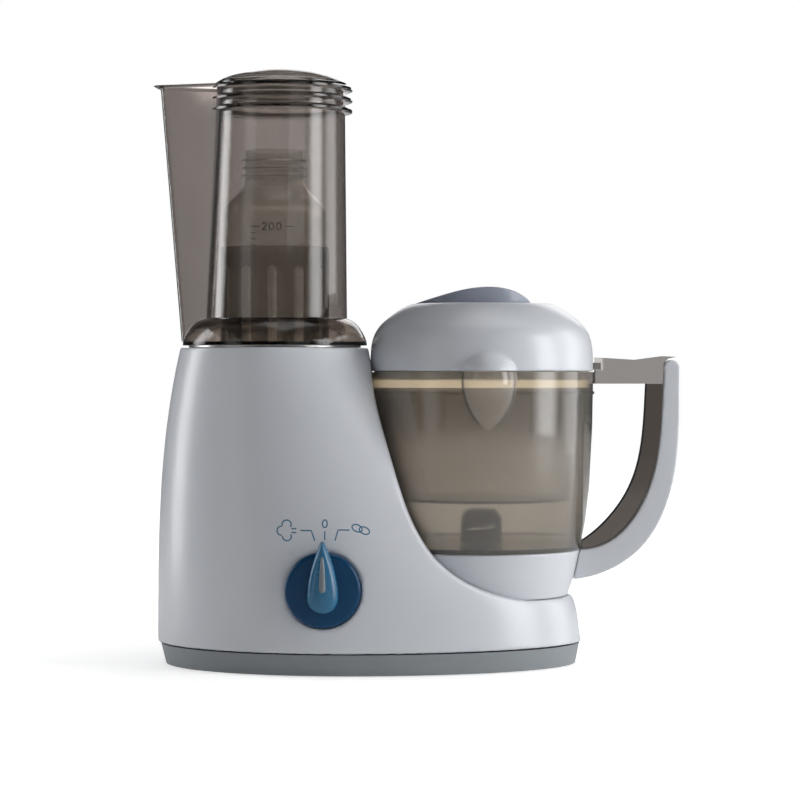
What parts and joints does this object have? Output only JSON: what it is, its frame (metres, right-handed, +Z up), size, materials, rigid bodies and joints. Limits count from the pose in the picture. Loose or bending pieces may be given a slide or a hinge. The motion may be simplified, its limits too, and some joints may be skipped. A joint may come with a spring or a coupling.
{
  "type": "baby food maker",
  "caption": "Countertop baby food maker: steam column with a hooded bottle warmer beside a handled blender bowl with a steaming basket, on one belt-driven base.",
  "frame": {"origin": "on the standing surface, under the middle of the whole object's box", "axes": "+Z up, -Y is the front with the knob and the spout, +X towards the bowl's handle"},
  "size_m": [0.3478, 0.1894, 0.394],
  "materials": {
    "white_plastic": "glossy moulded plastic",
    "grey_plastic": "satin moulded plastic",
    "rubber": "matt",
    "smoked_clear": "polished smoked clear plastic",
    "smoked_insert": "smoked clear plastic",
    "cream_plastic": "satin",
    "silicone": "satin silicone",
    "blue_dial": "glossy",
    "blue_pointer": "glossy translucent",
    "clear_lens": "polished clear",
    "blue_grey_cap": "translucent gloss",
    "bottle_clear": "clear",
    "stainless": "brushed",
    "machined_steel": "machined",
    "zinc_sheet": "zinc plated sheet",
    "bronze": "sintered",
    "black_nylon": "satin",
    "ceramic_white": "matt",
    "heater_metal": "cast",
    "belt_rubber": "matt"
  },
  "bodies": {
    "base": {"main_housing": "white_plastic", "base_tray": "grey_plastic", "rubber_feet": "rubber", "nozzle_seal": "silicone", "deck_seal": "silicone", "boiler_tank": "stainless", "housing_screws": "machined_steel", "motor_screws": "machined_steel", "motor_case": "zinc_sheet", "motor_bracket": "zinc_sheet", "boiler_clamp": "zinc_sheet", "bearing_housing": "zinc_sheet", "motor_bushes": "bronze", "shaft_bushes": "bronze", "cord_gland": "black_nylon", "selector_switch": "black_nylon", "terminal_block": "ceramic_white", "thermal_fuse": "ceramic_white", "boiler_thermostat": "ceramic_white", "heating_element": "heater_metal", "steam_nozzle": "heater_metal", "drive_belt": "belt_rubber"},
    "knob": {"knob_dial": "blue_dial", "knob_pointer": "blue_pointer", "indicator_lens": "clear_lens", "switch_spindle": "black_nylon"},
    "motor_rotor": {"motor_shaft": "machined_steel", "motor_rotor": "machined_steel", "cooling_fan": "black_nylon", "motor_pulley": "black_nylon"},
    "drive": {"drive_shaft": "machined_steel", "drive_pulley": "black_nylon", "drive_dog": "black_nylon"},
    "bowl": {"bowl_shell": "smoked_clear", "bowl_collar": "white_plastic", "handle_cover": "white_plastic", "spindle_seal": "silicone"},
    "blade": {"blade_spindle": "stainless", "driven_dog": "black_nylon", "blade_hub": "black_nylon", "blades": "stainless"},
    "basket": {"steam_basket": "smoked_insert", "basket_rim": "cream_plastic"},
    "lid": {"lid_shell": "white_plastic", "lid_tab": "clear_lens", "lid_gasket": "silicone", "steam_port": "silicone"},
    "lid_cap": {"lid_cap": "blue_grey_cap"},
    "dish": {"steam_dish": "smoked_clear", "arch_ring": "smoked_insert", "dish_gasket": "silicone"},
    "hood": {"hood_shell": "smoked_clear"},
    "hood_lid": {"hood_lid": "smoked_clear", "hood_lid_rings": "silicone"},
    "bottle": {"bottle": "bottle_clear"},
    "bottle_basket": {"bottle_basket": "smoked_insert"}
  },
  "joints": [
    {"name": "knob_turn", "type": "hinge", "parent": "base", "child": "knob", "pos_m": [-0.0595, -0.07935, 0.0551], "axis": [0, -1, 0], "range_deg": [-20, 20]},
    {"name": "motor_spin", "type": "hinge", "parent": "base", "child": "motor_rotor", "pos_m": [-0.0938, 0.00465, 0.025], "axis": [0, 0, 1], "continuous": true},
    {"name": "drive_spin", "type": "hinge", "parent": "base", "child": "drive", "pos_m": [0.0433, 0.00465, 0.025], "axis": [0, 0, 1], "continuous": true},
    {"name": "bowl_lift", "type": "slide", "parent": "base", "child": "bowl", "axis": [0, 0, 1], "range_m": [0, 0.18]},
    {"name": "blade_spin", "type": "hinge", "parent": "bowl", "child": "blade", "pos_m": [0.0433, 0.00465, 0.08], "axis": [0, 0, 1], "continuous": true},
    {"name": "lid_lift", "type": "slide", "parent": "bowl", "child": "lid", "axis": [0, 0, 1], "range_m": [0, 0.1]},
    {"name": "basket_lift", "type": "slide", "parent": "bowl", "child": "basket", "axis": [0, 0, 1], "range_m": [0, 0.05]},
    {"name": "lid_cap_lift", "type": "slide", "parent": "lid", "child": "lid_cap", "axis": [0, 0, 1], "range_m": [0, 0.03]},
    {"name": "dish_lift", "type": "slide", "parent": "base", "child": "dish", "axis": [0, 0, 1], "range_m": [0, 0.05]},
    {"name": "hood_lift", "type": "slide", "parent": "dish", "child": "hood", "axis": [0, 0, 1], "range_m": [0, 0.12]},
    {"name": "hood_lid_lift", "type": "slide", "parent": "hood", "child": "hood_lid", "axis": [0, 0, 1], "range_m": [0, 0.2]},
    {"name": "bottle_lift", "type": "slide", "parent": "dish", "child": "bottle", "axis": [0, 0, 1], "range_m": [0, 0.16]},
    {"name": "bottle_basket_lift", "type": "slide", "parent": "dish", "child": "bottle_basket", "axis": [0, 0, 1], "range_m": [0, 0.08]}
  ],
  "couplings": [
    {"joint": "drive_spin", "follows": "motor_spin", "ratio": 0.33333},
    {"joint": "blade_spin", "follows": "motor_spin", "ratio": 0.33333},
    {"joint": "basket_lift", "follows": "lid_lift", "ratio": 0.5},
    {"joint": "bottle_lift", "follows": "hood_lid_lift", "ratio": 0.8},
    {"joint": "bottle_basket_lift", "follows": "hood_lid_lift", "ratio": 0.4}
  ]
}
